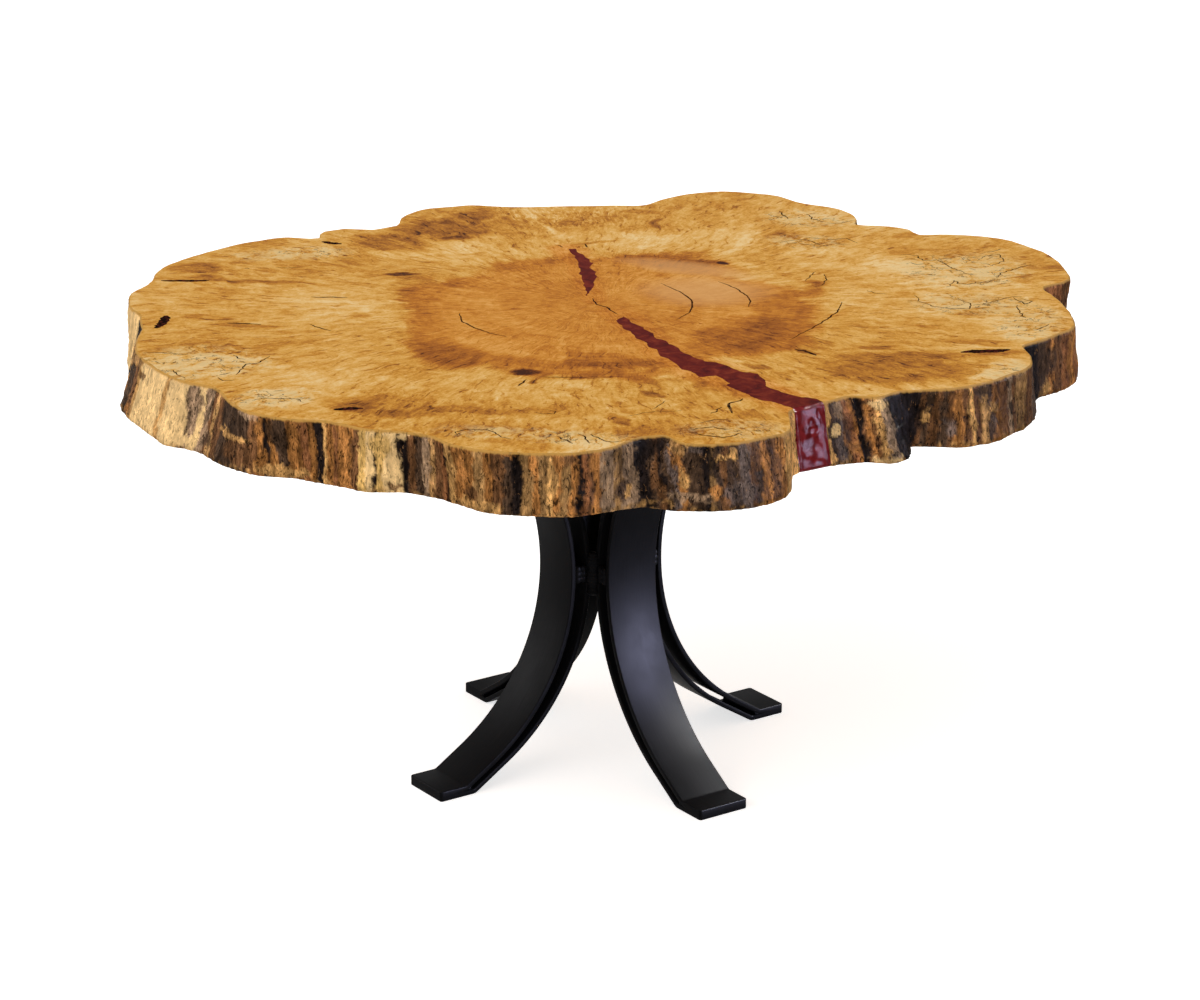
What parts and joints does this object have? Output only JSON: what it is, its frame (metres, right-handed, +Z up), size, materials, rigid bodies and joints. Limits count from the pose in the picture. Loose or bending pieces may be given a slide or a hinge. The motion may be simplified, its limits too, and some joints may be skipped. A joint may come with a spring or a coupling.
{
  "type": "coffee table",
  "caption": "Round live-edge coffee table: a tree-trunk slice with dark red resin in its drying crack, on a waisted base of bent flat steel bars.",
  "frame": {"origin": "on the base's centre line at the floor, at the middle of the slab's box", "axes": "+Z up; the legs point along the diagonals of X and Y; -Y is the side with the mouth of the resin-filled crack to its right; +Y is the slab's longer way across"},
  "size_m": [0.9146, 0.935, 0.457],
  "materials": {
    "wood": "clear gloss coat",
    "resin": "gloss, slightly see-through",
    "steel": "satin black powder coat",
    "fixings": "black oxide"
  },
  "bodies": {
    "root": {"slab": "wood", "resin_front": "resin", "resin_rear": "resin", "outer_bar_1": "steel", "outer_bar_2": "steel", "outer_bar_3": "steel", "outer_bar_4": "steel", "inner_bar_1": "steel", "inner_bar_2": "steel", "inner_bar_3": "steel", "inner_bar_4": "steel", "spacer_1": "steel", "spacer_2": "steel", "spacer_3": "steel", "spacer_4": "steel", "waist_weld_1": "steel", "waist_weld_2": "steel", "waist_weld_3": "steel", "waist_weld_4": "steel", "foot_weld_1": "steel", "foot_weld_2": "steel", "foot_weld_3": "steel", "foot_weld_4": "steel", "top_weld_1": "steel", "top_weld_2": "steel", "top_weld_3": "steel", "top_weld_4": "steel", "screw_1": "fixings", "screw_2": "fixings", "screw_3": "fixings", "screw_4": "fixings", "screw_5": "fixings", "screw_6": "fixings", "screw_7": "fixings", "screw_8": "fixings", "washer_1": "fixings", "washer_2": "fixings", "washer_3": "fixings", "washer_4": "fixings", "washer_5": "fixings", "washer_6": "fixings", "washer_7": "fixings", "washer_8": "fixings"}
  },
  "joints": []
}
